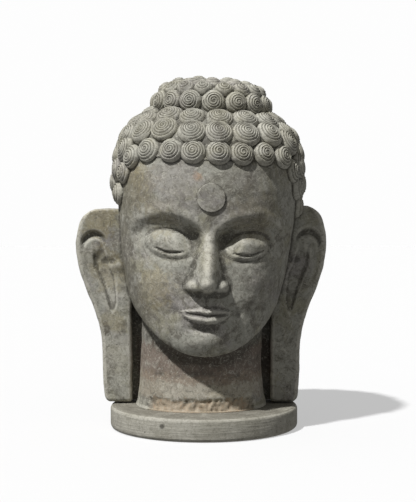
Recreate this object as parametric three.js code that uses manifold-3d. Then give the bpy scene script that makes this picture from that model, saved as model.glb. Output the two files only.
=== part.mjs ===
// A carved stone head with snail-curl hair, a crown bump and long ear lobes, bedded on a round stone base.
// Millimetres, +Z up, the face looks along -Y, +X is the viewer's right. The origin is the centre of the
// base's underside. The head is drawn in fingers, the old carvers' unit: the face is 12 fingers high.
import * as THREE from "three";
import { ConvexHull } from "three/addons/math/ConvexHull.js";
import { mergeVertices } from "three/addons/utils/BufferGeometryUtils.js";
import Module from "manifold-3d";

const wasm = await Module();
wasm.setup();

// Driving dimensions
const HEAD_HEIGHT = 468; // neck foot to the top curl
const BASE_RADIUS = 134;
const BASE_HEIGHT = 32;
const BASE_EDGE = 6; // rounding of the base's rim
const BED_GAP = 0.3; // between the base's top and the neck's foot
const LOBE_GAP = 2.4; // between the base's top and the ear lobes
const TILT_DEG = 2.4; // the head leans to its left
const TURN_DEG = 2.5; // and looks a little that way
const HEAD_ASIDE = -4; // from the middle of the base to the middle of the neck

// Canon of the head, in fingers above the chin
const HEAD_FINGERS = 21.7;
const NECK = 3.7;
const BROW = 8;
const NOSE_BASE = 4;
const MOUTH = 2.68;
const HAIRLINE = 12;
const FINGER = HEAD_HEIGHT / HEAD_FINGERS;
const CHIN_Z = BASE_HEIGHT + BED_GAP + NECK * FINGER;
const HEAD_AT = new THREE.Vector3(HEAD_ASIDE, 0, CHIN_Z); // level of the chin, on the neck's axis

// Shaping functions
const clamp = (t) => Math.min(1, Math.max(0, t));
const mix = (a, b, t) => a + (b - a) * t;
const smooth = (a, b, t) => {
  const s = clamp((t - a) / (b - a));
  return s * s * (3 - 2 * s);
};
const radial = (x, z, cx, cz, rx, rz) => Math.hypot((x - cx) / rx, (z - cz) / rz);
const soft = (d) => (d < 1 ? (1 - d * d) ** 2 : 0);
const mound = (d, steepness) => clamp(1 - d * d) ** steepness;
// The larger of a and b, with a soft join where both stand out
const blend = (a, b, width) => {
  const share = clamp(0.5 + (0.5 * (a - b)) / width);
  return mix(b, a, share) + width * share * (1 - share) * clamp(Math.min(a, b) / 0.2);
};
const power = (c, n) => Math.sign(c) * Math.abs(c) ** (2 / n);

// The value at t of a smooth curve through rows, which stand at t = 0, 1, 2 and so on
function through(rows, t) {
  const last = rows.length - 1;
  const i = Math.min(last - 1, Math.max(0, Math.floor(t)));
  const row = (k) => rows[Math.min(last, Math.max(0, k))];
  const f = t - i;
  return rows[i].map((_, c) => {
    const [a, b, d, e] = [row(i - 1)[c], row(i)[c], row(i + 1)[c], row(i + 2)[c]];
    return b + (f * (d - a + f * (2 * a - 5 * b + 4 * d - e + f * (3 * (b - d) + e - a)))) / 2;
  });
}

// Head sections from the neck's foot to the crown, in fingers:
// height at front, side and back; half width; reach forward; reach back
const SECTIONS = [
  [-3.7, -3.7, -3.7, 4.33, 4.0, 3.75],
  [-2.6, -2.6, -2.6, 4.15, 3.88, 3.7],
  [-1.5, -1.2, -1.0, 4.05, 3.78, 3.7],
  [-0.3, 1.3, 2.0, 4.02, 3.74, 3.75],
  [0.1, 2.35, 3.0, 4.2, 4.1, 4.05],
  [-0.02, 2.75, 3.4, 4.66, 4.75, 4.55],
  [0.85, 3.6, 4.0, 5.0, 5.12, 5.2],
  [2.5, 4.9, 5.2, 5.3, 5.22, 5.8],
  [4.1, 5.9, 6.2, 5.5, 5.27, 6.25],
  [5.8, 6.9, 7.2, 5.62, 5.3, 6.55],
  [7.3, 7.8, 8.0, 5.7, 5.35, 6.75],
  [8.6, 8.8, 9.0, 5.8, 5.5, 6.85],
  [10.3, 10.3, 10.3, 5.88, 5.52, 6.85],
  [12.0, 12.0, 12.0, 5.82, 5.25, 6.65],
  [13.3, 13.3, 13.3, 5.6, 4.85, 6.3],
  [14.2, 14.2, 14.2, 5.2, 4.3, 5.8],
  [14.8, 14.8, 14.8, 4.62, 3.7, 5.2],
  [15.3, 15.3, 15.3, 3.95, 3.1, 4.5],
  [15.6, 15.6, 15.6, 3.4, 2.7, 4.1],
  [16.2, 16.2, 16.2, 3.4, 2.7, 4.0],
  [16.9, 16.9, 16.9, 3.0, 2.35, 3.5],
  [17.25, 17.25, 17.25, 2.4, 1.85, 2.85],
  [17.45, 17.45, 17.45, 1.4, 1.05, 1.6],
];
const SECTION_ROUNDNESS = 2.15;
const CROWN_TOP = 17.55;
const CROWN_BACK = 0.35; // the crown bump's top stands this far behind the axis
const CROWN_FROM = 18; // the section where the crown bump starts
const FACE_FROM = 3;
// Steps of the mesh in each interval between sections
const STEPS = [1, 1, 1, 1, 1, 2, 3, 5, 4, 4, 4, 1, 1, 1];
const COLUMNS = 22; // from the front to the back, on each side
const FRONT_CROWDING = 0.62; // how much closer the columns stand at the front

// Brow arch: its height at a distance s from the middle
const browLine = (s) => BROW + 1 - ((s - 2.9) / (s < 2.9 ? 2.4 : 2.2)) ** 2;

function browRelief(s, z) {
  const below = browLine(s) - z;
  const along = smooth(0.2, 0.9, s) * (1 - smooth(4.3, 5.4, s));
  const ridge = 0.07 * soft(Math.abs(below + 0.15) / 0.5);
  return along * (ridge - 0.26 * smooth(-0.05, 0.8, below) * (1 - smooth(0.8, 1.9, below)));
}

const EYE = { x: 2.5, z: 7.0, rx: 1.5, rz: 0.92, bulge: 0.48, slant: 0.1 };

function eyeRelief(s, z) {
  const up = z - EYE.z - EYE.slant * (s - EYE.x);
  const socket = -0.44 * soft(radial(s, z, 2.3, 7.3, 2.5, 1.7)) - 0.24 * soft(radial(s, z, 1.2, 7.3, 1, 1.3));
  const out = radial(s, up, EYE.x, 0, EYE.rx, EYE.rz);
  const across = clamp(1 - ((s - EYE.x) / 1.3) ** 2);
  const lid = -0.14 - 0.26 * across;
  const slit = smooth(0, 0.08, lid - up) * smooth(0, 0.1, up - lid + 0.26 * across);
  return socket + EYE.bulge * mound(out, 0.85) - 0.14 * slit;
}

const NOSE_ROOT = 8.4;
const NOSE_RISE = [[0], [0.28], [0.62], [1.02], [1.42], [1.56], [1.2]]; // from the root to the base

function noseRelief(s, z) {
  const down = clamp((NOSE_ROOT - z) / (NOSE_ROOT - NOSE_BASE));
  const reach = through(NOSE_RISE, down * (NOSE_RISE.length - 1))[0];
  const width = mix(0.66, 0.5, smooth(4.2, 6.6, z)) + 0.1 * smooth(7, NOSE_ROOT, z);
  const bridge = reach * (1 - smooth(0, 2.1, s / width));
  const tip = 1.62 * mound(radial(s, z, 0, 4.66, 0.74, 0.72), 0.6);
  const wing = 0.88 * mound(radial(s, z, 0.8, 4.46, 0.62, 0.56), 0.8);
  const under = smooth(NOSE_BASE - 0.14, NOSE_BASE + 0.26, z);
  return blend(blend(bridge, tip, 0.3), wing, 0.4) * under * (z < NOSE_ROOT ? 1 : 0);
}

function mouthRelief(s, z) {
  const half = 1.9;
  const line = MOUTH + 0.16 * (s / half) ** 2.5 - 0.05 * Math.exp(-((s / 0.25) ** 2));
  const open = clamp(1 - (s / half) ** 1.8);
  const top = line + 0.52 * open - 0.08 * Math.exp(-((s / 0.22) ** 2));
  const low = line - 0.64 * Math.sqrt(clamp(1 - (s / 1.5) ** 2));
  const upper = z > line && z < top ? Math.sin((Math.PI * (z - line)) / (top - line)) ** 0.8 : 0;
  const lower = z < line && z > low ? Math.sin((Math.PI * (line - z)) / (line - low)) ** 0.8 : 0;
  const muzzle = 0.26 * soft(radial(s, z, 0, 2.75, 2.4, 1.8));
  const fold = -0.14 * soft(radial(s, z, 0, 1.82, 1.4, 0.4));
  const corner = -0.08 * soft(radial(s, z, 1.95, 2.84, 0.55, 0.5));
  const groove = -0.07 * soft(radial(s, z, 0, 3.5, 0.24, 0.5));
  return muzzle + fold + corner + groove + open * (0.26 * upper + 0.3 * lower);
}

// How far the carving of the face stands out, in fingers, at a place seen from the front
function faceRelief(x, z) {
  const s = Math.abs(x);
  const chin = 0.3 * soft(radial(s, z, 0, 0.95, 1.6, 1.1));
  const cheek = 0.2 * soft(radial(s, z, 3.2, 4.3, 2.2, 2.2));
  return browRelief(s, z) + eyeRelief(s, z) + noseRelief(s, z) + mouthRelief(s, z) + chin + cheek;
}

// Hairline height at an angle round the head, every 20 degrees from the front to the back
const HAIR_EDGE = [[12], [12], [12.05], [11.6], [9.2], [8.0], [7.1], [6.1], [5.6], [5.5]];
const HAIR_EDGE_STEP_DEG = 20;

function hairEdge(a) {
  const degrees = Math.abs(THREE.MathUtils.radToDeg(Math.atan2(Math.sin(a), Math.cos(a))));
  return through(HAIR_EDGE, degrees / HAIR_EDGE_STEP_DEG)[0];
}

// A point of the smooth head, in fingers before the tilt, at section v and angle a
function smoothHead(v, a, lift = 0) {
  const [front, side, back, half, forward, rear] = through(SECTIONS, v);
  const [c, s] = [Math.cos(a), Math.sin(a)];
  return new THREE.Vector3(
    (half + lift) * power(s, SECTION_ROUNDNESS),
    -((c > 0 ? forward : rear) + lift) * power(c, SECTION_ROUNDNESS),
    side + ((c > 0 ? front : back) - side) * c * c,
  );
}

// The same point with the face carved
function skin(v, a) {
  const p = smoothHead(v, a);
  const facing = v > FACE_FROM && p.z < HAIRLINE ? smooth(0.05, 0.5, Math.cos(a)) : 0;
  if (facing > 0) p.y -= facing * faceRelief(p.x, p.z);
  return p;
}

// From fingers to millimetres, leaning and turning above the neck
function placed(p) {
  const share = smooth(-NECK + 0.7, 0.5, p.z);
  return p
    .clone()
    .applyAxisAngle(new THREE.Vector3(0, 1, 0), THREE.MathUtils.degToRad(TILT_DEG) * share)
    .applyAxisAngle(new THREE.Vector3(0, 0, 1), THREE.MathUtils.degToRad(TURN_DEG) * share)
    .multiplyScalar(FINGER)
    .add(HEAD_AT);
}

// A closed geometry from rings of as many points each, with a point at each end
function loft(rings, first, last) {
  const points = [first, ...rings.flat(), last];
  const n = rings[0].length;
  const at = (r, k) => 1 + r * n + (k % n);
  const faces = [];
  for (let k = 0; k < n; k++) {
    faces.push(0, at(0, k + 1), at(0, k));
    faces.push(points.length - 1, at(rings.length - 1, k), at(rings.length - 1, k + 1));
    for (let r = 0; r + 1 < rings.length; r++) {
      faces.push(at(r, k), at(r, k + 1), at(r + 1, k + 1));
      faces.push(at(r, k), at(r + 1, k + 1), at(r + 1, k));
    }
  }
  return new THREE.BufferGeometry().setFromPoints(points).setIndex(faces);
}

function solid(geometry) {
  const bare = geometry.clone();
  bare.deleteAttribute("normal");
  bare.deleteAttribute("uv");
  const merged = mergeVertices(bare, 1e-3);
  const vertProperties = new Float32Array(merged.attributes.position.array);
  const triVerts = new Uint32Array(merged.index.array);
  return new wasm.Manifold(new wasm.Mesh({ numProp: 3, vertProperties, triVerts }));
}

function geometryOf(shape) {
  const { vertProperties, triVerts } = shape.getMesh();
  return new THREE.BufferGeometry()
    .setAttribute("position", new THREE.BufferAttribute(new Float32Array(vertProperties), 3))
    .setIndex(new THREE.BufferAttribute(new Uint32Array(triVerts), 1));
}

// Angles round the head, closer together at the front by a given crowding
function anglesRound(count, crowding) {
  return Array.from({ length: count }, (_, k) => {
    const turn = (2 * Math.PI * k) / count;
    return turn - crowding * Math.sin(turn);
  });
}

// Skull, face and neck in one skin
function skull() {
  const rings = [];
  STEPS.forEach((steps, i) => {
    for (let j = 0; j < steps; j++) rings.push(i + j / steps);
  });
  const angles = anglesRound(2 * COLUMNS, FRONT_CROWDING);
  return loft(
    rings.map((v) => angles.map((a) => placed(skin(v, a)))),
    placed(new THREE.Vector3(0, 0, -NECK)),
    placed(new THREE.Vector3(0, CROWN_BACK, CROWN_TOP - 3)),
  );
}

// The section of the smooth head that reaches a given height at angle a
function sectionAt(a, height) {
  let [low, high] = [FACE_FROM + 1, SECTIONS.length - 1];
  while (high - low > 1e-3) {
    const middle = (low + high) / 2;
    if (smoothHead(middle, a).z < height) low = middle;
    else high = middle;
  }
  return low;
}

// A frame on the head's surface, lifted by a given amount: X to the side, Y up, Z outward
function skinFrame(v, a, lift) {
  const here = placed(smoothHead(v, a, lift));
  const up = placed(smoothHead(v + 0.04, a, lift)).sub(here);
  const along = placed(smoothHead(v, a + 0.02, lift)).sub(here);
  const out = along.cross(up).normalize();
  return new THREE.Matrix4()
    .makeBasis(up.clone().cross(out).normalize(), up.clone().projectOnPlane(out).normalize(), out)
    .setPosition(here);
}

// A low boss of regular rings, given as pairs of radius and height, with its crown at a given height
function boss(rings, crown, sides) {
  const ring = ([r, h]) =>
    Array.from({ length: sides }, (_, k) => {
      const a = (2 * Math.PI * k) / sides;
      return new THREE.Vector3(r * Math.cos(a), r * Math.sin(a), h).multiplyScalar(FINGER);
    });
  const middle = (h) => new THREE.Vector3(0, 0, h * FINGER);
  return loft(rings.map(ring), middle(rings[0][1]), middle(crown));
}

// Disc on the forehead
const DISC = { radius: 0.89, height: 0.1, sunk: 0.35, z: 10.0, sides: 14 };

function disc() {
  const { radius, height, sunk, sides } = DISC;
  const rings = [[radius, -sunk], [radius, 0.6 * height], [0.86 * radius, 0.95 * height]];
  return boss(rings, height, sides).applyMatrix4(skinFrame(sectionAt(0, DISC.z), 0, 0));
}

// Snail curls: rows that run round the head above the hairline, each with its pitch and
// the place of its first curl beside the middle, then level rings on the crown bump
const CURL = { lift: 0.2, height: 0.46, groove: -0.12, rows: 1.42 };
// Rings of a curl, as shares of its radius and height: a large one has two, a small one has one
const CURL_PROFILES = { large: [[0.8, 0.55], [0.45, 0.92]], small: [[0.66, 0.76]] };
const SMALL_CURL = 1.4; // curls of a closer pitch are small
const CURL_ROWS = [
  [1.52, 0.28], [1.74, 0.3], [1.6, 0.4], [1.6, -0.4], [1.6, 0.4], [1.6, -0.4],
  [1.6, 0.4], [1.6, -0.4],
];
// Section, number of curls and their pitch
const CROWN_RINGS = [[18.9, 16, 1.38], [20.2, 16, 1.15], [21.3, 10, 1.2], [22, 5, 1.25]];
const CROWN_PITCH = 1.3;
const EAR_TOP = 9.42;
const behindEar = (p) => Math.abs(p.x) > 5.0 && p.z < EAR_TOP + 0.35 && p.y > -0.9 && p.y < 2.3;
// The hem under the lowest row lies inside the skin
const HEM = { count: 26, drop: 0.8, inside: 0.93 };
const NET_CENTRE = new THREE.Vector3(0, 0.5, 10);

// The section that lies a given way up the scalp from the hairline, at angle a
function above(a, way) {
  const step = 0.1;
  let v = sectionAt(a, hairEdge(a));
  for (let gone = 0; gone < way && v < CROWN_FROM; v += step) {
    gone += smoothHead(v, a).distanceTo(smoothHead(v + step, a));
  }
  return v;
}

// Places spaced evenly round one row: section, angle and pitch
function rowPlaces(way, pitch, first) {
  const samples = 180;
  const angles = anglesRound(samples, 0).map((a) => a + Math.asin(first / 5.5));
  const sections = angles.map((a) => above(a, way));
  const points = angles.map((a, k) => smoothHead(sections[k], a));
  const lengths = points.map((p, k) => p.distanceTo(points[(k + 1) % samples]));
  const total = lengths.reduce((sum, length) => sum + length, 0);
  const spacing = total / Math.round(total / pitch);
  const places = [];
  let gone = 0;
  for (let k = 0; k < samples; k++) {
    if (gone >= places.length * spacing - lengths[k] / 2) places.push([sections[k], angles[k], spacing]);
    gone += lengths[k];
  }
  return places;
}

// Section, angle and pitch of each curl
function curlPlaces() {
  const places = [];
  CURL_ROWS.forEach(([pitch, first], row) => {
    for (const place of rowPlaces(pitch / 2 + row * CURL.rows, pitch, first)) {
      if (place[0] < CROWN_FROM - 0.8 && !behindEar(smoothHead(place[0], place[1]))) places.push(place);
    }
  });
  CROWN_RINGS.forEach(([v, count, pitch], ring) => {
    for (let k = 0; k < count; k++) places.push([v, (2 * Math.PI * (k + 0.5 * (ring % 2))) / count, pitch]);
  });
  return places;
}

// Knots of the hair's net, in millimetres: the curls, one on top of the crown, and the hem
function hairKnots() {
  const knots = curlPlaces().map(([v, a, pitch]) => {
    const frame = skinFrame(v, a, CURL.lift);
    return {
      at: new THREE.Vector3().setFromMatrixPosition(frame),
      out: new THREE.Vector3().setFromMatrixColumn(frame, 2),
      radius: (FINGER * pitch) / 2,
      rings: pitch < SMALL_CURL ? CURL_PROFILES.small : CURL_PROFILES.large,
    };
  });
  const up = new THREE.Vector3(0, 0, 1);
  const top = placed(new THREE.Vector3(0, CROWN_BACK, CROWN_TOP));
  knots.push({ at: top, out: up, radius: (FINGER * CROWN_PITCH) / 2, rings: CURL_PROFILES.small });
  for (const a of anglesRound(HEM.count, 0)) {
    const p = smoothHead(sectionAt(a, hairEdge(a) - HEM.drop), a);
    knots.push({ at: placed(new THREE.Vector3(p.x * HEM.inside, p.y * HEM.inside, p.z)), out: up, radius: 0, rings: [] });
  }
  return knots;
}

// Triangles that join neighbouring knots: the faces of the hull round their directions
function net(knots) {
  const directions = knots.map(({ at }) => at.clone().sub(placed(NET_CENTRE)).normalize());
  return new ConvexHull().setFromPoints(directions).faces.map(({ edge }) =>
    [edge.tail(), edge.head(), edge.next.head()].map((node) => directions.indexOf(node.point)),
  );
}

// The hair in one skin: each curl is a low boss, and neighbours meet in grooves whose
// corners are the middles of the net's triangles
function hair() {
  const knots = hairKnots();
  const points = knots.map(({ at, out, radius }) =>
    at.clone().addScaledVector(out, radius > 0 ? CURL.height * FINGER : 0),
  );
  const corner = new Map();
  for (const triangle of net(knots)) {
    const middle = new THREE.Vector3();
    for (const k of triangle) middle.addScaledVector(knots[k].at, 1 / 3);
    for (const k of triangle) middle.addScaledVector(knots[k].out, knots[k].radius > 0 ? (CURL.groove * FINGER) / 3 : 0);
    points.push(middle);
    triangle.forEach((k, c) => corner.set(`${k} ${triangle[(c + 1) % 3]}`, points.length - 1));
  }
  const shoulders = new Map();
  const shoulder = (k, c, ring) => {
    const key = `${k} ${c} ${ring}`;
    if (!shoulders.has(key)) {
      const { at, out, radius, rings } = knots[k];
      const [reach, rise] = rings[ring];
      const way = points[c].clone().sub(at).projectOnPlane(out).setLength(reach * radius);
      points.push(at.clone().add(way).addScaledVector(out, rise * CURL.height * FINGER));
      shoulders.set(key, points.length - 1);
    }
    return shoulders.get(key);
  };
  const faces = [];
  for (const [edge, left] of corner) {
    const [from, to] = edge.split(" ").map(Number);
    let [a, b] = [corner.get(`${to} ${from}`), left];
    for (let ring = 0; ring < knots[from].rings.length; ring++) {
      const [c, d] = [shoulder(from, corner.get(`${to} ${from}`), ring), shoulder(from, left, ring)];
      faces.push(a, b, d, a, d, c);
      [a, b] = [c, d];
    }
    faces.push(a, b, from);
  }
  return new THREE.BufferGeometry().setFromPoints(points).setIndex(faces);
}

// Ears: rows of height, inner and outer edge
const LOBE_FOOT = (LOBE_GAP - BED_GAP) / FINGER - NECK;
const EAR_ROWS = [
  [LOBE_FOOT, 4.75, 6.2],
  [-3.35, 4.68, 6.42],
  [-2.7, 4.68, 6.5],
  [-1.5, 4.68, 6.58],
  [0, 4.68, 6.6],
  [1.3, 4.68, 6.76],
  [2.7, 4.6, 7.17],
  [4.2, 4.6, 7.77],
  [5.6, 4.6, 8.18],
  [6.9, 4.6, 8.34],
  [7.8, 4.6, 8.24],
  [8.6, 4.7, 8.02],
  [9.1, 4.9, 7.6],
  [9.35, 5.2, 7.1],
];
const EAR_STEPS = 1.5;
const EAR_FRONT = -0.3;
const EAR_BACK = 1.5;
const EAR_RISE = 0.11; // how far the top of one ear stands above the middle height, and the other below it
// Round the ear from the inner edge of its front: shares of its width and of its depth
const EAR_RING = [
  [0.03, 0.08], [0.2, 0], [0.36, 0], [0.5, 0], [0.64, 0], [0.8, 0], [0.96, 0.04],
  [1, 0.25], [1, 0.8], [0.9, 1], [0.1, 1], [0, 0.6],
];

// The hollow of the ear: height, inner edge and outer edge
const EAR_HOLLOW = [[2.2, 5.95, 6.1], [2.8, 5.7, 6.42], [3.8, 5.74, 6.72], [5.2, 6.0, 7.22], [6.5, 6.5, 7.42]];

// The row at height z of a list whose rows start with their heights
function between(rows, z) {
  const next = rows.findIndex(([height]) => height > z);
  if (next <= 0) return rows.at(next);
  const [low, high] = [rows[next - 1], rows[next]];
  return low.map((value, c) => mix(value, high[c], (z - low[0]) / (high[0] - low[0])));
}

// How deep the front of the ear is carved, in fingers
function earRelief(x, z) {
  const [low, high] = [EAR_HOLLOW[0][0], EAR_HOLLOW.at(-1)[0]];
  const [, inner, outer] = between(EAR_HOLLOW, z);
  const u = (outer - x) / (outer - inner);
  const ends = smooth(low, low + 0.5, z) * (1 - smooth(high - 1.1, high, z));
  const hollow = smooth(0, 0.45, u) * (0.4 - 0.12 * u) * (1 - smooth(0.82, 1, u)) * ends;
  const arch = 0.45 * (1 - smooth(0.7, 1, radial(x, z, 7.15, 6.9, 0.9, 0.95)));
  const ridge = 0.14 * soft(radial(x, z, 7.0, 6.3, 0.45, 0.8));
  return hollow + arch * smooth(0.85, 1.1, radial(x, z, 7.0, 6.5, 0.9, 0.9)) - ridge;
}

function ear(side) {
  const rings = [];
  for (let i = 0; i <= (EAR_ROWS.length - 1) * EAR_STEPS; i++) {
    const [z, inner, outer] = through(EAR_ROWS, i / EAR_STEPS);
    const ring = EAR_RING.map(([across, deep]) => {
      const x = mix(inner, outer, across);
      return new THREE.Vector3(side * x, mix(EAR_FRONT, EAR_BACK, deep) + (deep > 0 ? 0 : earRelief(x, z)), z);
    });
    rings.push(side > 0 ? ring : ring.reverse());
  }
  const end = (row, z) => new THREE.Vector3((side * (row[1] + row[2])) / 2, (EAR_FRONT + EAR_BACK) / 2, z);
  const first = end(EAR_ROWS[0], EAR_ROWS[0][0]);
  const last = end(EAR_ROWS.at(-1), EAR_TOP);
  const set = ({ x, y, z }) => {
    const rise = side * EAR_RISE * smooth(MOUTH, EAR_TOP, z);
    return new THREE.Vector3(x, y, z + rise).multiplyScalar(FINGER).add(HEAD_AT);
  };
  return loft(rings.map((ring) => ring.map(set)), set(first), set(last));
}

// Stone left standing between the ear lobe and the neck, set back from the lobe's front
const WEB = { inner: 3.7, outer: 4.95, front: 0.9, back: 1.4, top: 3.9 };

function web(side) {
  const height = WEB.top - LOBE_FOOT;
  const box = new THREE.BoxGeometry(WEB.outer - WEB.inner, WEB.back - WEB.front, height);
  return box
    .translate((side * (WEB.inner + WEB.outer)) / 2, (WEB.front + WEB.back) / 2, LOBE_FOOT + height / 2)
    .scale(FINGER, FINGER, FINGER)
    .translate(...HEAD_AT);
}

const LIGHT_STONE = 0x7d796c;

function headMesh() {
  const extras = [hair(), disc(), ear(-1), ear(1), web(-1), web(1)];
  const shape = extras.reduce((whole, extra) => whole.add(solid(extra)), solid(skull()));
  const material = new THREE.MeshStandardMaterial({ color: LIGHT_STONE, roughness: 0.85, metalness: 0 });
  const mesh = new THREE.Mesh(geometryOf(shape), material);
  mesh.name = "head";
  return mesh;
}

const BASE_SIDES = 44;

function baseMesh() {
  const profile = new THREE.Path()
    .moveTo(0, 0)
    .lineTo(BASE_RADIUS - BASE_EDGE, 0)
    .absarc(BASE_RADIUS - BASE_EDGE, BASE_EDGE, BASE_EDGE, -Math.PI / 2, 0)
    .absarc(BASE_RADIUS - BASE_EDGE, BASE_HEIGHT - BASE_EDGE, BASE_EDGE, 0, Math.PI / 2)
    .lineTo(0, BASE_HEIGHT);
  const turned = new THREE.LatheGeometry(profile.getPoints(1), BASE_SIDES).rotateX(Math.PI / 2);
  const material = new THREE.MeshStandardMaterial({ color: 0x85857a, roughness: 0.8, metalness: 0 });
  const mesh = new THREE.Mesh(geometryOf(solid(turned)), material);
  mesh.name = "round_base";
  return mesh;
}

const group = new THREE.Group();
group.add(headMesh(), baseMesh());
export default group;
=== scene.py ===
"""A carved stone head with snail-curl hair, a crown bump, a forehead disc and long ear lobes, on a
round stone base. The head is drawn in fingers, the old carvers' unit: the face is 12 fingers high.
"""
import math

import bmesh
import bpy
import numpy as np
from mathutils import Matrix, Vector


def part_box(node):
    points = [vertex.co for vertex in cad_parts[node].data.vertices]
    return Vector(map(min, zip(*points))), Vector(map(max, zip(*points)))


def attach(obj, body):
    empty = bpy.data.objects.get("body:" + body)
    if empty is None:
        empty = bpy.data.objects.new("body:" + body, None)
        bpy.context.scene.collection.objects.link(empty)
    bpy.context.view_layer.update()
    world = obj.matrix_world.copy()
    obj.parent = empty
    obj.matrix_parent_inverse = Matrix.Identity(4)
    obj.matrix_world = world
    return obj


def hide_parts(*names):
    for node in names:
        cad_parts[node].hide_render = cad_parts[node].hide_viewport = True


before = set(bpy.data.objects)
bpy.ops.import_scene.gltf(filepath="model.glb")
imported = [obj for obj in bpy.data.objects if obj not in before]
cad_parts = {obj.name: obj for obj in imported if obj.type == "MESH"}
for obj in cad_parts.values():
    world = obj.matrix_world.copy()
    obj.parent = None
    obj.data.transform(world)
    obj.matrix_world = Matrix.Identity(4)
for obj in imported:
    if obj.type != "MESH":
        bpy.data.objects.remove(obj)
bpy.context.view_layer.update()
rng = np.random.default_rng(7)

# Driving dimensions, in metres
HEAD_LOW, HEAD_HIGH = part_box("head")
BASE_LOW, BASE_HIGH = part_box("round_base")
HEAD_HEIGHT = 0.468
HEAD_ASIDE = -0.004
BASE_RADIUS = (BASE_HIGH[0] - BASE_LOW[0]) / 2
BASE_HEIGHT = BASE_HIGH[2] - BASE_LOW[2]
BASE_EDGE = 0.006
BED_GAP = HEAD_LOW[2] - BASE_HIGH[2]
LOBE_GAP = 0.0024
TILT = math.radians(2.4)
TURN = math.radians(2.5)

# Canon of the head, in fingers above the chin
HEAD_FINGERS = 21.7
NECK = 3.7
BROW = 8
NOSE_BASE = 4
MOUTH = 2.68
HAIRLINE = 12
FINGER = HEAD_HEIGHT / HEAD_FINGERS
CHIN_Z = BASE_HEIGHT + BED_GAP + NECK * FINGER
LOBE_FOOT = (LOBE_GAP - BED_GAP) / FINGER - NECK
HEAD_AT = [HEAD_ASIDE, 0, CHIN_Z]  # level of the chin, on the neck's axis
LEAN_FROM = 0.7 - NECK
LEAN_TO = 0.5


BOTH_OUT = 0.2  # fingers that two shapes have to stand out for a full soft join


# Shaping functions
def smooth(a, b, t):
    s = np.clip((t - a) / (b - a), 0, 1)
    return s * s * (3 - 2 * s)


def mix(a, b, t):
    return a + (b - a) * t


def radial(x, z, cx, cz, rx, rz):
    return np.hypot((x - cx) / rx, (z - cz) / rz)


def mound(d, steepness):
    return np.clip(1 - d * d, 0, 1) ** steepness


def soft(d):
    return mound(d, 2)


def blend(a, b, width):
    """The larger of a and b, with a soft join where both stand out."""
    share = np.clip(0.5 + 0.5 * (a - b) / width, 0, 1)
    return mix(b, a, share) + width * share * (1 - share) * np.clip(np.minimum(a, b) / BOTH_OUT, 0, 1)


def power(c, n):
    return np.sign(c) * np.abs(c) ** (2 / n)


def through(rows, t):
    """The values at t of a smooth curve through rows, which stand at t = 0, 1, 2 and so on."""
    rows = np.asarray(rows, float)
    last = len(rows) - 1
    i = np.clip(np.floor(t).astype(int), 0, last - 1)
    f = (t - i)[..., None]
    a, b, d, e = (rows[np.clip(i + k, 0, last)] for k in (-1, 0, 1, 2))
    return b + f * (d - a + f * (2 * a - 5 * b + 4 * d - e + f * (3 * (b - d) + e - a))) / 2


def angles_round(count, crowding=0):
    """Angles all the way round, which may crowd together towards 0, the front."""
    turn = np.arange(count) * 2 * math.pi / count
    return turn - crowding * np.sin(turn)


# Head sections from the neck's foot to the crown, in fingers:
# height at front, side and back; half width; reach forward; reach back
SECTIONS = [
    [-3.7, -3.7, -3.7, 4.33, 4.0, 3.75],
    [-2.6, -2.6, -2.6, 4.15, 3.88, 3.7],
    [-1.5, -1.2, -1.0, 4.05, 3.78, 3.7],
    [-0.3, 1.3, 2.0, 4.02, 3.74, 3.75],
    [0.1, 2.35, 3.0, 4.2, 4.1, 4.05],
    [-0.02, 2.75, 3.4, 4.66, 4.75, 4.55],
    [0.85, 3.6, 4.0, 5.0, 5.12, 5.2],
    [2.5, 4.9, 5.2, 5.3, 5.22, 5.8],
    [4.1, 5.9, 6.2, 5.5, 5.27, 6.25],
    [5.8, 6.9, 7.2, 5.62, 5.3, 6.55],
    [7.3, 7.8, 8.0, 5.7, 5.35, 6.75],
    [8.6, 8.8, 9.0, 5.8, 5.5, 6.85],
    [10.3, 10.3, 10.3, 5.88, 5.52, 6.85],
    [12.0, 12.0, 12.0, 5.82, 5.25, 6.65],
    [13.3, 13.3, 13.3, 5.6, 4.85, 6.3],
    [14.2, 14.2, 14.2, 5.2, 4.3, 5.8],
    [14.8, 14.8, 14.8, 4.62, 3.7, 5.2],
    [15.3, 15.3, 15.3, 3.95, 3.1, 4.5],
    [15.6, 15.6, 15.6, 3.4, 2.7, 4.1],
    [16.2, 16.2, 16.2, 3.4, 2.7, 4.0],
    [16.9, 16.9, 16.9, 3.0, 2.35, 3.5],
    [17.25, 17.25, 17.25, 2.4, 1.85, 2.85],
    [17.45, 17.45, 17.45, 1.4, 1.05, 1.6],
]
SECTION_ROUNDNESS = 2.15
CROWN_TOP = 17.55
CROWN_BACK = 0.35
CROWN_FROM = 18
FACE_FROM = 3
FACE_TO = 13


def smooth_head(v, a, lift=0.0):
    """Points of the smooth head, in fingers before the tilt, at sections v and angles a."""
    front, side, back, half, forward, rear = np.moveaxis(through(SECTIONS, v), -1, 0)
    c, s = np.cos(a), np.sin(a)
    reach = np.where(c > 0, forward, rear)
    height = side + (np.where(c > 0, front, back) - side) * c * c
    x = (half + lift) * power(s, SECTION_ROUNDNESS)
    y = -(reach + lift) * power(c, SECTION_ROUNDNESS)
    return np.stack([x, y, height], -1)


def placed(p):
    """From fingers to metres, leaning and turning above the neck."""
    x, y, z = np.moveaxis(np.asarray(p, float), -1, 0)
    share = smooth(LEAN_FROM, LEAN_TO, z)
    lean = TILT * share
    x, z = x * np.cos(lean) + z * np.sin(lean), z * np.cos(lean) - x * np.sin(lean)
    turn = TURN * share
    x, y = x * np.cos(turn) - y * np.sin(turn), x * np.sin(turn) + y * np.cos(turn)
    return np.stack([x, y, z], -1) * FINGER + HEAD_AT


def upright(p):
    return np.asarray(p, float) * FINGER + HEAD_AT


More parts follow.
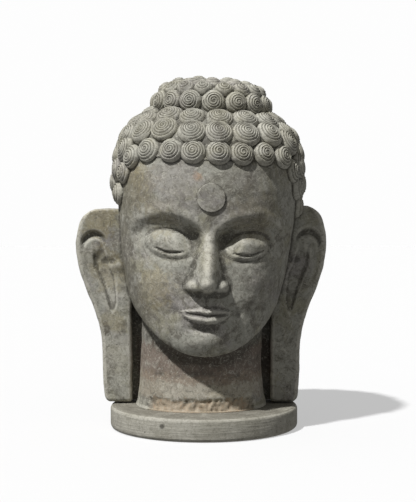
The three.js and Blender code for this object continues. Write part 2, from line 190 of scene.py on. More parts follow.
# Rounds and hollows of the face and the ears, seen from the front, in fingers:
# height, steepness, middle sideways and upward, half width, half height
ROUNDS = {
    "socket": (-0.44, 2, 2.3, 7.3, 2.5, 1.7),
    "inner socket": (-0.24, 2, 1.2, 7.3, 1, 1.3),
    "nose tip": (1.6, 0.6, 0, 4.66, 0.74, 0.72),
    "nose wing": (0.88, 0.8, 0.8, 4.46, 0.62, 0.56),
    "nostril": (-0.3, 2, 0.44, 4.08, 0.28, 0.2),
    "muzzle": (0.26, 2, 0, 2.75, 2.4, 1.8),
    "fold over chin": (-0.14, 2, 0, 1.82, 1.4, 0.4),
    "corner of mouth": (-0.08, 2, 1.95, 2.84, 0.55, 0.5),
    "groove over lip": (-0.07, 2, 0, 3.5, 0.24, 0.5),
    "chin": (0.3, 2, 0, 0.95, 1.6, 1.1),
    "cheek": (0.2, 2, 3.2, 4.3, 2.2, 2.2),
    "ear canal": (0.1, 2, 6.15, 5.85, 0.7, 0.4),
    "ear knob": (0.1, 2, 7.0, 6.6, 0.45, 0.6),
    "ear point": (0.08, 2, 5.5, 5.6, 0.5, 0.5),
}
BROW_PEAK = 2.9
BROW_INWARD = 2.4  # from the peak to where the brow line has fallen by a finger
BROW_OUTWARD = 2.2
BROW_RIDGE = 0.07
BROW_HOLLOW = 0.26
EYE = {"x": 2.5, "z": 7.0, "rx": 1.5, "rz": 0.92, "bulge": 0.48, "slant": 0.1, "crease": 0.05}
SLIT = {"half": 1.3, "level": -0.14, "sag": 0.26, "depth": 0.14}
NOSE_ROOT = 8.4
NOSE_RISE = [[0], [0.28], [0.62], [1.02], [1.42], [1.54], [1.2]]  # from the root down to the base
NOSE_HALF = (0.66, 0.5)  # half width of the bridge, below and above
LIPS = {
    "half": 1.9, "curve": 0.16, "dip": 0.05, "bow": 0.08,
    "upper": 0.52, "lower": 0.64, "lower_half": 1.5, "upper_rise": 0.26, "lower_rise": 0.3,
}


def swell(name, s, z):
    height, steepness, *place = ROUNDS[name]
    return height * mound(radial(s, z, *place), steepness)


# How far the face stands out, in fingers, at a distance s from its middle line and a height z
def brow_line(s):
    return BROW + 1 - ((s - BROW_PEAK) / np.where(s < BROW_PEAK, BROW_INWARD, BROW_OUTWARD)) ** 2


def brow_relief(s, z):
    below = brow_line(s) - z
    along = smooth(0.2, 0.9, s) * (1 - smooth(4.3, 5.4, s))
    ridge = BROW_RIDGE * soft((below + 0.15) / 0.5)
    return along * (ridge - BROW_HOLLOW * smooth(-0.05, 0.8, below) * (1 - smooth(0.8, 1.9, below)))


def eye_relief(s, z):
    up = z - EYE["z"] - EYE["slant"] * (s - EYE["x"])
    sockets = swell("socket", s, z) + swell("inner socket", s, z)
    out = radial(s, up, EYE["x"], 0, EYE["rx"], EYE["rz"])
    crease = -EYE["crease"] * soft((out - 1) / 0.14) * smooth(0.1, 0.5, up)
    sag = SLIT["sag"] * np.clip(1 - ((s - EYE["x"]) / SLIT["half"]) ** 2, 0, 1)
    lid = SLIT["level"] - sag
    slit = smooth(0, 0.08, lid - up) * smooth(0, 0.1, up - lid + sag)
    return sockets + crease + EYE["bulge"] * mound(out, 0.85) - SLIT["depth"] * slit


def nose_relief(s, z):
    down = np.clip((NOSE_ROOT - z) / (NOSE_ROOT - NOSE_BASE), 0, 1)
    reach = through(NOSE_RISE, down * (len(NOSE_RISE) - 1))[..., 0]
    width = mix(*NOSE_HALF, smooth(4.2, 6.6, z)) + 0.1 * smooth(7, NOSE_ROOT, z)
    bridge = reach * (1 - smooth(0, 2.1, s / width))
    body = blend(blend(bridge, swell("nose tip", s, z), 0.3), swell("nose wing", s, z), 0.4)
    under = smooth(NOSE_BASE - 0.14, NOSE_BASE + 0.26, z)
    return body * under * (z < NOSE_ROOT) + swell("nostril", s, z)


def lip(share, inside):
    """The round of one lip, at a share of its height."""
    return np.where(inside, np.clip(np.sin(np.pi * share), 0, 1) ** 0.8, 0)


def mouth_relief(s, z):
    half = LIPS["half"]
    line = MOUTH + LIPS["curve"] * (s / half) ** 2.5 - LIPS["dip"] * np.exp(-((s / 0.25) ** 2))
    part = np.clip(1 - (s / half) ** 1.8, 0, 1)
    top = line + LIPS["upper"] * part - LIPS["bow"] * np.exp(-((s / 0.22) ** 2))
    low = line - LIPS["lower"] * np.sqrt(np.clip(1 - (s / LIPS["lower_half"]) ** 2, 0, 1))
    rise = np.clip((z - line) / np.maximum(top - line, 1e-6), 0, 1)
    fall = np.clip((line - z) / np.maximum(line - low, 1e-6), 0, 1)
    upper = lip(rise, (z > line) & (z < top))
    lower = lip(fall, (z < line) & (z > low))
    names = ("muzzle", "fold over chin", "corner of mouth", "groove over lip")
    around = sum(swell(name, s, z) for name in names)
    return around + part * (LIPS["upper_rise"] * upper + LIPS["lower_rise"] * lower)


def face_relief(x, z):
    s = np.abs(x)
    features = brow_relief(s, z) + eye_relief(s, z) + nose_relief(s, z) + mouth_relief(s, z)
    return features + swell("chin", s, z) + swell("cheek", s, z)


NECK_FOLDS = [(-1.35, 0.02), (-2.3, 0.01)]  # height and depth of the soft lines round the neck
FOLD_HALF = 0.2
NECK_HALF = 4


def skin(v, a):
    """Points of the head with its face, in fingers before the tilt."""
    p = smooth_head(v, a)
    facing = np.where((v > FACE_FROM) & (p[..., 2] < HAIRLINE), smooth(0.05, 0.5, np.cos(a)), 0)
    p[..., 1] -= facing * face_relief(p[..., 0], p[..., 2])
    folds = sum(depth * soft((p[..., 2] - z) / FOLD_HALF) for z, depth in NECK_FOLDS)
    p[..., :2] *= (1 - np.where(v < FACE_FROM + 1, folds / NECK_HALF, 0))[..., None]
    return p


# Hair, in fingers: rows of curls above the hairline, then level rings on the crown bump
HAIR_EDGE_STEP = math.radians(20)
HAIR_EDGE = [[12], [12], [12.05], [11.6], [9.2], [8.0], [7.1], [6.1], [5.6], [5.5]]  # height at each step
SCALP_LIFT = 0.24
SCALP_HALF = 5.5  # half the width of the scalp
HEM_LIFT = 0.06
CURL = {
    "lift": 0.2, "height": 0.46, "rows": 1.42, "segments": 24,
    "groove": 0.055, "groove_pitch": 0.165, "rim": 0.75, "fall": 0.85, "dome": 2.6, "foot": 0.5,
}
CURL_WIDTHS = (1.06, 1.12)  # least and most, as shares of the pitch
CURL_HEIGHTS = (0.92, 1.04)  # least and most, as shares of the height
CURL_CLEARANCE = 1.1
CURL_ROWS = [(1.52, 0.28), (1.74, 0.3)] + 3 * [(1.6, 0.4), (1.6, -0.4)]  # pitch, and place of the first
CROWN_RINGS = [(18.9, 16, 1.38), (20.2, 16, 1.15), (21.3, 10, 1.2), (22, 5, 1.25)]  # section, count, pitch
CROWN_PITCH = 1.3
ROWS_END = CROWN_FROM - 0.8
ROW_SAMPLES = 180
HALVINGS = 16
EAR_TOP = 9.42
HIDDEN = {"x": 5.0, "front": -0.5, "back": 2.3, "top": EAR_TOP + 0.35}  # no curls behind the ears


def hair_edge(a):
    return through(HAIR_EDGE, np.abs(np.arctan2(np.sin(a), np.cos(a))) / HAIR_EDGE_STEP)[..., 0]


def section_at(a, height):
    """The sections of the smooth head that reach given heights at angles a."""
    low = np.full(np.shape(a), FACE_FROM + 1.0)
    high = np.full(np.shape(a), len(SECTIONS) - 1.0)
    for _ in range(HALVINGS):
        middle = (low + high) / 2
        under = smooth_head(middle, a)[..., 2] < height
        low = np.where(under, middle, low)
        high = np.where(under, high, middle)
    return low


def above(a, way):
    """The sections that lie a given way up the scalp from the hairline, at angles a."""
    step = 0.1
    v = section_at(a, hair_edge(a))
    gone = np.zeros_like(v)
    for _ in range(int(len(SECTIONS) / step)):
        going = (gone < way) & (v < CROWN_FROM)
        ahead = np.linalg.norm(smooth_head(v + step, a) - smooth_head(v, a), axis=-1)
        gone += np.where(going, ahead, 0)
        v = v + np.where(going, step, 0)
    return v


def row_places(way, pitch, first):
    """Places spaced evenly round one row: section, angle and pitch."""
    angles = angles_round(ROW_SAMPLES) + math.asin(first / SCALP_HALF)
    sections = above(angles, way)
    points = smooth_head(sections, angles)
    lengths = np.linalg.norm(np.roll(points, -1, 0) - points, axis=1)
    spacing = lengths.sum() / round(lengths.sum() / pitch)
    places = []
    gone = 0
    for section, angle, length in zip(sections, angles, lengths):
        if gone >= len(places) * spacing - length / 2:
            places.append((section, angle, spacing))
        gone += length
    return places


def hidden(p):
    return abs(p[0]) > HIDDEN["x"] and p[2] < HIDDEN["top"] and HIDDEN["front"] < p[1] < HIDDEN["back"]


def curl_places():
    """Section, angle, pitch and lift of each curl."""
    places = []
    for row, (pitch, first) in enumerate(CURL_ROWS):
        for v, a, spacing in row_places(pitch / 2 + row * CURL["rows"], pitch, first):
            if v < ROWS_END and not hidden(smooth_head(np.array(v), np.array(a))):
                places.append((v, a, spacing, CURL["lift"] if row else HEM_LIFT))
    for ring, (v, count, pitch) in enumerate(CROWN_RINGS):
        for k in range(count):
            places.append((v, 2 * math.pi * (k + 0.5 * (ring % 2)) / count, pitch, CURL["lift"]))
    return places


SECTION_NUDGE = 0.04
ANGLE_NUDGE = 0.02


def skin_frame(v, a, lift):
    """Origin, and the sideways, upward and outward directions, on the surface of the head."""
    v, a = np.array(v), np.array(a)
    here = placed(smooth_head(v, a, lift))
    up = placed(smooth_head(v + SECTION_NUDGE, a, lift)) - here
    along = placed(smooth_head(v, a + ANGLE_NUDGE, lift)) - here
    out = np.cross(along, up)
    out /= np.linalg.norm(out)
    side = np.cross(up, out)
    side /= np.linalg.norm(side)
    return here, np.array([side, np.cross(out, side), out])


# Mesh helpers
def new_object(name, points, faces):
    mesh = bpy.data.meshes.new(name)
    mesh.from_pydata([tuple(p) for p in points], [], [tuple(f) for f in faces])
    mesh.update()
    piece = bpy.data.objects.new(name, mesh)
    bpy.context.scene.collection.objects.link(piece)
    return piece


def loft(rings, first, last):
    """Points and faces of a closed skin over rings that run counter-clockwise, seen from the last one."""
    count, n = rings.shape[:2]
    points = np.vstack([[first], rings.reshape(-1, 3), [last]])
    k = np.arange(n)
    following = (k + 1) % n
    faces = []
    for r in range(count - 1):
        low, high = 1 + r * n, 1 + (r + 1) * n
        faces.extend(np.stack([low + k, low + following, high + following, high + k], 1).tolist())
    faces.extend([0, 1 + j, 1 + i] for i, j in zip(k, following))
    top = 1 + (count - 1) * n
    faces.extend([len(points) - 1, top + i, top + j] for i, j in zip(k, following))
    return points, faces


def drop_crumbs(mesh):
    """Removes the tiny loose bits that joining can leave, so that one skin remains."""
    shape = bmesh.new()
    shape.from_mesh(mesh)
    left = set(shape.verts)
    skins = []
    while left:
        reached = [left.pop()]
        for corner in reached:  # the list grows while it is walked
            for edge in corner.link_edges:
                beyond = edge.other_vert(corner)
                if beyond in left:
                    left.remove(beyond)
                    reached.append(beyond)
        skins.append(reached)
    for crumbs in sorted(skins, key=len)[:-1]:
        bmesh.ops.delete(shape, geom=crumbs, context="VERTS")
    shape.to_mesh(mesh)
    shape.free()


def join(target, parts):
    """Unites closed pieces with the target into one closed skin."""
    for part in parts:
        modifier = target.modifiers.new("join", "BOOLEAN")
        modifier.operation = "UNION"
        modifier.solver = "MANIFOLD"
        modifier.object = part
    evaluated = target.evaluated_get(bpy.context.evaluated_depsgraph_get())
    mesh = bpy.data.meshes.new_from_object(evaluated)
    mesh.materials.clear()
    drop_crumbs(mesh)
    target.modifiers.clear()
    target.data = mesh
    for part in parts:
        bpy.data.objects.remove(part)


def turned(profile, sides):
    """Rings round the upright axis, one for each radius and height of a profile."""
    turn = angles_round(sides)
    rings = [np.stack([r * np.cos(turn), r * np.sin(turn), np.full_like(turn, z)], 1) for r, z in profile]
    return np.array(rings)


# Parts of the head: skin steps in metres, and numbers of columns and rings
FACE_STEP = 0.0019
PLAIN_STEP = 0.005
SKIN_COLUMNS = 176
SKIN_CROWDING = 0.55
SCALP_COLUMNS = 64
SCALP_RINGS = 24
CROWN_BANDS = 8
HEM_RISE = 0.35  # fingers from the hairline to the scalp's edge
HEM_TUCK = 0.8


def skull():
    knots = np.arange(0, CROWN_FROM + 1, dtype=float)
    front = placed(smooth_head(knots, np.zeros_like(knots)))
    v = []
    for i, length in enumerate(np.linalg.norm(np.diff(front, axis=0), axis=1)):
        step = FACE_STEP if FACE_FROM < i < FACE_TO or i == 0 else PLAIN_STEP
        steps = max(1, round(length / step))
        v.extend(i + np.arange(steps) / steps)
    angles = angles_round(SKIN_COLUMNS, SKIN_CROWDING)
    rings = np.array([placed(skin(np.full(SKIN_COLUMNS, t), angles)) for t in v])
    top = placed([0, CROWN_BACK, CROWN_TOP - 3])  # inside the scalp
    return new_object("head", *loft(rings, placed([0, 0, -NECK]), top))


def scalp():
    """The skin under the curls, from the hairline to the crown."""
    angles = angles_round(SCALP_COLUMNS)
    edge = section_at(angles, hair_edge(angles) + HEM_RISE)
    rings = [placed(smooth_head(edge, angles) * [HEM_TUCK, HEM_TUCK, 1])]
    for t in np.linspace(0, 1, SCALP_RINGS):
        lift = mix(HEM_LIFT, SCALP_LIFT, smooth(0.1, 0.3, t))
        rings.append(placed(smooth_head(mix(edge, CROWN_FROM, t), angles, lift)))
    for v in np.linspace(CROWN_FROM, len(SECTIONS) - 1, CROWN_BANDS + 1)[1:]:
        rings.append(placed(smooth_head(np.full_like(angles, v), angles, SCALP_LIFT)))
    first = placed([0, 0, HAIRLINE - 2])  # inside the skull
    last = placed([0, CROWN_BACK, CROWN_TOP])
    return new_object("scalp", *loft(np.array(rings), first, last))


def curl_shape(radius, height, start):
    """A domed curl with one spiral groove, in metres, standing on z = 0: points and faces."""
    m = CURL["segments"]
    turns = round(radius / (CURL["groove_pitch"] * FINGER) - 0.7)
    pitch = radius / (turns + CURL["rim"])
    groove = CURL["groove"] * FINGER
    last = (turns - 1) * m
    points = []
    for n in range(last + m + 1):
        turn = start - 2 * math.pi * n / m
        for line in range(3):  # the groove, and the two edges of the ridge beside it
            r = pitch * (n / m + line / 3)
            sunk = groove if line == 0 and n > 2 else 0
            rise = height * (1 - CURL["fall"] * (r / radius) ** CURL["dome"]) - sunk
            points.append((r * math.cos(turn), r * math.sin(turn), rise))

    def spot(n, line):
        return 3 * n + line

    rim = len(points)
    for rise in (0.02, -CURL["foot"]):
        for k in range(m):
            turn = start - 2 * math.pi * k / m
            points.append((radius * math.cos(turn), radius * math.sin(turn), rise * height))
    points.append((0, 0, -CURL["foot"] * height))

    # the spiral and its start in the middle
    faces = []
    for n in range(last + m):
        for line in (0, 1):
            faces.append((spot(n, line), spot(n + 1, line), spot(n + 1, line + 1), spot(n, line + 1)))
        if n < last:
            faces.append((spot(n, 2), spot(n + 1, 2), spot(n + 1 + m, 0), spot(n + m, 0)))
    for n in range(1, m - 1):
        faces.append((0, spot(n + 1, 0), spot(n, 0)))
    tail = spot(m - 1, 0)
    faces += [(tail, spot(0, 2), spot(m, 0)), (tail, spot(0, 1), spot(0, 2)), (tail, 0, spot(0, 1))]
    # the outer end of the spiral, closed onto the rim
    end = last + m
    beside = spot(last + 1, 2)
    faces += [
        (spot(last, 2), beside, spot(end, 0)), (spot(end, 0), beside, spot(end, 1)),
        (spot(end, 1), beside, spot(end, 2)), (spot(end, 2), beside, rim + 1), (spot(end, 2), rim + 1, rim),
    ]
    for k in range(1, m):
        faces.append((spot(last + k, 2), spot(last + k + 1, 2), rim + (k + 1) % m, rim + k))
    # the side and the underside
    for k in range(m):
        j = (k + 1) % m
        faces.append((rim + k, rim + j, rim + m + j, rim + m + k))
        faces.append((rim + m + k, rim + m + j, rim + 2 * m))
    return np.array(points), faces


def curls():
    """The curls in a few objects, each of which holds only curls that are clear of each other."""
    stands = [(*skin_frame(v, a, lift), spacing) for v, a, spacing, lift in curl_places()]
    stands.append((placed([0, CROWN_BACK, CROWN_TOP]), np.eye(3), CROWN_PITCH))
    groups = []
    for here, axes, spacing in stands:
        radius = spacing / 2 * FINGER * rng.uniform(*CURL_WIDTHS)
        height = CURL["height"] * FINGER * rng.uniform(*CURL_HEIGHTS)
        points, faces = curl_shape(radius, height, rng.uniform(0, 2 * math.pi))
        entry = (here, radius, here + points @ axes, faces)
        for group in groups:
            reach = [CURL_CLEARANCE * (radius + other[1]) for other in group]
            away = [np.linalg.norm(here - other[0]) for other in group]
            if all(a > b for a, b in zip(away, reach)):
                group.append(entry)
                break
        else:
            groups.append([entry])
    objects = []
    for index, group in enumerate(groups):
        points, faces, count = [], [], 0
        for _, _, corners, rows in group:
            points.append(corners)
            faces += [tuple(count + k for k in row) for row in rows]
            count += len(corners)
        objects.append(new_object(f"curls_{index}", np.vstack(points), faces))
    return objects


# The ears, in fingers: height, inner edge and outer edge
EAR_ROWS = [
    [LOBE_FOOT, 4.66, 6.2],
    [-3.35, 4.58, 6.42],
    [-2.7, 4.58, 6.5],
    [-1.5, 4.58, 6.58],
    [0, 4.58, 6.6],
    [1.3, 4.6, 6.76],
    [2.7, 4.6, 7.17],
    [4.2, 4.6, 7.77],
    [5.6, 4.6, 8.18],
    [6.9, 4.6, 8.34],
    [7.8, 4.6, 8.24],
    [8.6, 4.7, 8.02],
    [9.1, 4.9, 7.6],
    [9.35, 5.2, 7.1],
]
EAR_FRONT = -0.3
EAR_BACK = 1.5
EAR_RISE = 0.11  # how far the top of one ear stands above the middle height, and the other below it
EAR_EDGE = 0.26
EAR_SPANS = (38, 2, 4, 2)  # columns along the front, the outer side, the back and the inner side
EAR_CORNER = 4
EAR_RINGS = 110
FRONT_FADE = 0.25

# The hollow of the ear, likewise, and the arch over it: depth, middle, half width and half height
EAR_HOLLOW = [
    [2.35, 5.85, 6.0],
    [3.0, 5.57, 6.22],
    [4.0, 5.58, 6.54],
    [4.9, 5.68, 6.96],
    [5.5, 6.0, 7.18],
    [7.2, 6.6, 7.3],
]
ARCH_DEPTH = 0.3
ARCH_OUTER = (7.12, 7.05, 0.92, 0.94)
ARCH_INNER = (7.0, 6.6, 0.9, 0.9)


def ear_relief(x, z):
    """How deep the front of the ear is carved, in fingers."""
    heights, inner, outer = np.array(EAR_HOLLOW).T
    low, high = heights[0], heights[-1]
    wide = np.maximum(np.interp(z, heights, outer) - np.interp(z, heights, inner), 0.1)
    u = (np.interp(z, heights, outer) - x) / wide
    hollow = smooth(0, 0.22, u) * (0.19 - 0.09 * u) * (1 - smooth(0.84, 1, u))
    hollow = hollow * smooth(low, low + 0.4, z) * (1 - smooth(high - 1.2, high, z))
    arch = ARCH_DEPTH * (1 - smooth(0.62, 1, radial(x, z, *ARCH_OUTER)))
    arch = arch * smooth(0.78, 1.12, radial(x, z, *ARCH_INNER))
    knobs = swell("ear knob", x, z) + swell("ear point", x, z)
    return hollow + arch + swell("ear canal", x, z) - knobs


def ear_ring(inner, outer, deep):
    """A closed ring with rounded corners, counter-clockwise: place sideways, and depth behind the front."""
    width = outer - inner
    edge = min(EAR_EDGE, deep / 2.2, width / 2.2)
    left, right, back = inner + edge, outer - edge, deep - edge
    corners = [(left, edge, 180), (right, edge, 270), (right, back, 0), (left, back, 90)]
    ring = []
    for (x, y, turn), count, following in zip(corners, EAR_SPANS, corners[1:] + corners[:1]):
        angles = np.radians(turn + np.linspace(0, 90, EAR_CORNER))
        corner = np.stack([x + edge * np.cos(angles), y + edge * np.sin(angles)], 1)
        ahead = math.radians(turn + 90)
        stop = np.array([following[0] + edge * math.cos(ahead), following[1] + edge * math.sin(ahead)])
        side = [mix(corner[-1], stop, t) for t in np.linspace(0, 1, count + 1)[1:-1]]
        ring += [*corner, *side]
    return np.array(ring)


def ear(side):
    """One ear, its ends rounded off; side is -1 or 1."""
    rings = []
    for t in np.linspace(0, len(EAR_ROWS) - 1, EAR_RINGS):
        z, inner, outer = through(EAR_ROWS, np.array(t))
        close = max(0, EAR_EDGE - (EAR_TOP - z), EAR_EDGE - (z - LOBE_FOOT)) / EAR_EDGE
        inset = EAR_EDGE * (1 - math.sqrt(1 - min(close, 0.98) ** 2))
        x, y = ear_ring(inner, outer, EAR_BACK - EAR_FRONT - 2 * inset).T
        y = EAR_FRONT + inset + y + (1 - smooth(0, FRONT_FADE, y)) * ear_relief(x, z)
        height = np.full_like(x, z + side * EAR_RISE * smooth(MOUTH, EAR_TOP, z))
        points = np.stack([side * x, y, height], 1)
        rings.append(upright(points if side > 0 else points[::-1]))
    middle = (EAR_FRONT + EAR_BACK) / 2
    first = upright([side * (EAR_ROWS[0][1] + EAR_ROWS[0][2]) / 2, middle, EAR_ROWS[0][0]])
    last = upright([side * (EAR_ROWS[-1][1] + EAR_ROWS[-1][2]) / 2, middle, EAR_TOP + side * EAR_RISE])
    return new_object("ear", *loft(np.array(rings), first, last))


WEB = {"inner": 3.7, "outer": 4.95, "front": 0.7, "back": 1.4, "top": 3.9}
WEB_RINGS = 9


def web(side):
    """Stone left standing between the ear lobe and the neck."""
    left, right = sorted((side * WEB["inner"], side * WEB["outer"]))
    front, back = WEB["front"], WEB["back"]
    ring = np.array([[left, front], [right, front], [right, back], [left, back]])
    heights = np.linspace(LOBE_FOOT, WEB["top"], WEB_RINGS)
    rings = np.array([upright(np.column_stack([ring, np.full(4, z)])) for z in heights])
    middle = [(left + right) / 2, (front + back) / 2]
    return new_object("web", *loft(rings, upright([*middle, heights[0]]), upright([*middle, heights[-1]])))


DISC = {"radius": 0.92, "height": 0.08, "sunk": 0.35, "z": 10.0, "sides": 56}
# The disc's rounded edge: shares of its radius and of its height
DISC_EDGE = [(1, 0.55), (0.985, 0.78), (0.93, 0.92), (0.7, 1), (0.35, 1)]


def disc():
    """The round boss on the forehead."""
    here, axes = skin_frame(section_at(np.array(0.0), DISC["z"]), 0.0, 0.0)
    radius, height = DISC["radius"], DISC["height"]
    profile = [(radius, -DISC["sunk"])] + [(r * radius, z * height) for r, z in DISC_EDGE]
    points, faces = loft(turned(profile, DISC["sides"]), [0, 0, -DISC["sunk"]], [0, 0, height])
    return new_object("disc", here + points * FINGER @ axes, faces)


def make_head():
    head = skull()
    join(head, [scalp(), disc(), ear(-1), ear(1), web(-1), web(1), *curls()])
    return head


BASE_SIDES = 180
BASE_ARC = 7


def make_base():
    flat = BASE_RADIUS - BASE_EDGE
    profile = []
    for middle, start in ((BASE_EDGE, -90), (BASE_HEIGHT - BASE_EDGE, 0)):
        for turn in np.radians(start + np.linspace(0, 90, BASE_ARC)):
            profile.append((flat + BASE_EDGE * math.cos(turn), middle + BASE_EDGE * math.sin(turn)))
    return new_object("base", *loft(turned(profile, BASE_SIDES), (0, 0, 0), (0, 0, BASE_HEIGHT)))


# Surface: hand-carved unevenness, and what grooves and edges the material can read, in metres
SKIN_WEAR = [(0.03, 0.0004), (0.012, 0.00025)]  # size and depth of the hollows
SKIN_WEAR_FULL = 0.006  # height above the foot from which the skin's wear is full
FOOT_WEAR = [(0.009, 0.0014), (0.005, 0.0009)]
FOOT_FROM = 0.002
FOOT_LEVELS = (0.046, 0.053)  # top of the rough foot
FOOT_SIDES = (-0.045, -0.06)
WAVE_COUNT = 28
WAVE_SPREAD = (0.7, 1.3)
# Rounds of smoothing, then depth and share of a full groove, and of a full edge
WEAR_AND_SHADE_SCALES = [(6, 0.0005, 0.75, 0.0004, 0.6), (60, 0.004, 0.25, 0.004, 0.2)]


def vertex_vectors(mesh, name):
    flat = np.empty(len(mesh.vertices) * 3)
    mesh.vertices.foreach_get(name, flat)
    return flat.reshape(-1, 3)


def waves(points, size):
    """Smooth random bumps of a given size, between about -1 and 1."""
    ways = rng.normal(size=(WAVE_COUNT, 3))
    lengths = np.linalg.norm(ways, axis=1, keepdims=True)
    ways *= (2 * math.pi / size) * rng.uniform(*WAVE_SPREAD, (WAVE_COUNT, 1)) / lengths
    phases = rng.uniform(0, 2 * math.pi, WAVE_COUNT)
    return np.sin(points @ ways.T + phases).sum(1) / math.sqrt(WAVE_COUNT / 2) / 2


def relaxed(mesh, points, rounds):
    """The points after each has moved to the middle of its neighbours a number of times."""
    edges = np.empty(len(mesh.edges) * 2, dtype=int)
    mesh.edges.foreach_get("vertices", edges)
    a, b = edges.reshape(-1, 2).T
    count = len(points)
    share = np.bincount(a, minlength=count) + np.bincount(b, minlength=count)
    for _ in range(rounds):
        sums = [np.bincount(a, points[b, c], count) + np.bincount(b, points[a, c], count) for c in range(3)]
        points = (points + np.stack(sums, 1) / np.maximum(share, 1)[:, None]) / 2
    return points


def wear(piece, hollows, share):
    """Wears hollows into the skin, given as pairs of size and depth, as far as the share says."""
    mesh = piece.data
    points = vertex_vectors(mesh, "co")
    shift = share * sum(depth * np.clip(waves(points, size) - 1, -2, 0) for size, depth in hollows)
    points = np.clip(points + vertex_vectors(mesh, "normal") * shift[:, None], HEAD_LOW, HEAD_HIGH)
    mesh.vertices.foreach_set("co", points.ravel())
    mesh.update()


def wear_head(piece):
    """Soft wear above the foot, and a rough foot at the front of the neck."""
    _, y, z = vertex_vectors(piece.data, "co").T
    foot = HEAD_LOW[2]
    wear(piece, SKIN_WEAR, smooth(foot, foot + SKIN_WEAR_FULL, z))
    rough = (z > foot + FOOT_FROM) * (1 - smooth(*FOOT_LEVELS, z)) * smooth(*FOOT_SIDES, y)
    wear(piece, FOOT_WEAR, rough)


def wear_and_shade_maps(piece):
    """Writes how deep a place lies in a groove, and how far an edge stands out, as two attributes: dirt with
    painted shade, wear with painted highlight.
    """
    mesh = piece.data
    points = vertex_vectors(mesh, "co")
    out = vertex_vectors(mesh, "normal")
    cavity = np.zeros(len(points))
    wear_and_highlight = np.zeros(len(points))
    for rounds, groove, groove_share, edge, edge_share in WEAR_AND_SHADE_SCALES:
        depth = ((relaxed(mesh, points, rounds) - points) * out).sum(1)
        cavity += np.clip(depth / groove, 0, 1) * groove_share
        wear_and_highlight += np.clip(-depth / edge, 0, 1) * edge_share
    for name, values in (("cavity", cavity), ("wear_and_highlight", wear_and_highlight)):
        layer = mesh.attributes.new(name, "FLOAT", "POINT")
        layer.data.foreach_set("value", np.clip(values, 0, 1))


def finish_shading(piece, angle):
    mesh = piece.data
    mesh.polygons.foreach_set("use_smooth", [True] * len(mesh.polygons))
    mesh.set_sharp_from_angle(angle=math.radians(angle))


STONE_SPECULAR = 0.35


class Nodes:
    """Short calls for building a material's nodes."""

    def __init__(self, name):
        self.material = bpy.data.materials.new(name)
        self.material.use_nodes = True
        self.tree = self.material.node_tree
        self.shader = self.tree.nodes["Principled BSDF"]
        self.place = self.add("ShaderNodeTexCoord").outputs["Object"]

    def add(self, kind, inputs=None, **settings):
        node = self.tree.nodes.new(kind)
        for name, value in settings.items():
            setattr(node, name, value)
        for name, value in (inputs or {}).items():
            if isinstance(value, bpy.types.NodeSocket):
                self.tree.links.new(value, node.inputs[name])
            else:
                node.inputs[name].default_value = value
        return node

    def noise(self, size, detail=4.0, roughness=0.55, distortion=0.0, stretch=None):
        place = self.place
        if stretch:
            place = self.add("ShaderNodeMapping", {"Vector": place, "Scale": stretch}).outputs["Vector"]
        inputs = {
            "Vector": place, "Scale": 1 / size, "Detail": detail,
            "Roughness": roughness, "Distortion": distortion,
        }
        return self.add("ShaderNodeTexNoise", inputs).outputs["Fac"]

    def spots(self, size):
        return self.add("ShaderNodeTexVoronoi", {"Vector": self.place, "Scale": 1 / size}).outputs["Distance"]

    def ramp(self, value, low, high, to_low=0.0, to_high=1.0):
        inputs = {"Value": value, "From Min": low, "From Max": high, "To Min": to_low, "To Max": to_high}
        return self.add("ShaderNodeMapRange", inputs, interpolation_type="SMOOTHSTEP").outputs["Result"]

    def math(self, operation, a, b):
        return self.add("ShaderNodeMath", {0: a, 1: b}, operation=operation, use_clamp=True).outputs["Value"]

    def times(self, *factors):
        product = factors[0]
        for factor in factors[1:]:
            product = self.math("MULTIPLY", product, factor)
        return product

    def ragged_sum(self, ragged, width, value):
        """A value made uneven by up to about half a width."""
        inputs = {0: ragged, 1: width, 2: value}
        return self.add("ShaderNodeMath", inputs, operation="MULTIPLY_ADD").outputs["Value"]

    def attribute(self, name):
        return self.add("ShaderNodeAttribute", attribute_name=name).outputs["Fac"]

    def axes(self):
        return self.add("ShaderNodeSeparateXYZ", {"Vector": self.place}).outputs

    def reach(self):
        """The distance from the upright axis."""
        inputs = {0: self.place, 1: (1, 1, 0)}
        flat = self.add("ShaderNodeVectorMath", inputs, operation="MULTIPLY").outputs["Vector"]
        return self.add("ShaderNodeVectorMath", {0: flat}, operation="LENGTH").outputs["Value"]

    def near(self, centre, radius, ragged):
        """A mask that is 1 within a ragged distance of a point."""
        inputs = {0: self.place, 1: centre}
        away = self.add("ShaderNodeVectorMath", inputs, operation="DISTANCE").outputs["Value"]
        return self.ramp(self.ragged_sum(ragged, radius, away), 0.75 * radius, 1.5 * radius, 1.0, 0.0)

    def over(self, colour, mask, shade):
        """Lays a shade over a colour where the mask is."""
        node = self.add("ShaderNodeMix", data_type="RGBA")
        for socket, value in ((node.inputs[0], mask), (node.inputs[6], colour), (node.inputs[7], shade)):
            if isinstance(value, bpy.types.NodeSocket):
                self.tree.links.new(value, socket)
            else:
                socket.default_value = value
        return node.outputs[2]

    def bump(self, height, strength, distance, normal=None):
        inputs = {"Height": height, "Strength": strength, "Distance": distance}
        if normal is not None:
            inputs["Normal"] = normal
        return self.add("ShaderNodeBump", inputs).outputs["Normal"]

    def finish(self, colour, roughness, normal):
        for name, value in (("Base Color", colour), ("Roughness", roughness), ("Normal", normal)):
            self.tree.links.new(value, self.shader.inputs[name])
        self.shader.inputs["Specular IOR Level"].default_value = STONE_SPECULAR
        return self.material


def linear(red, green, blue):
    """A colour as seen on a screen, 0 to 255, for a shader's socket."""
    return (*(((c / 255 + 0.055) / 1.055) ** 2.4 for c in (red, green, blue)), 1.0)


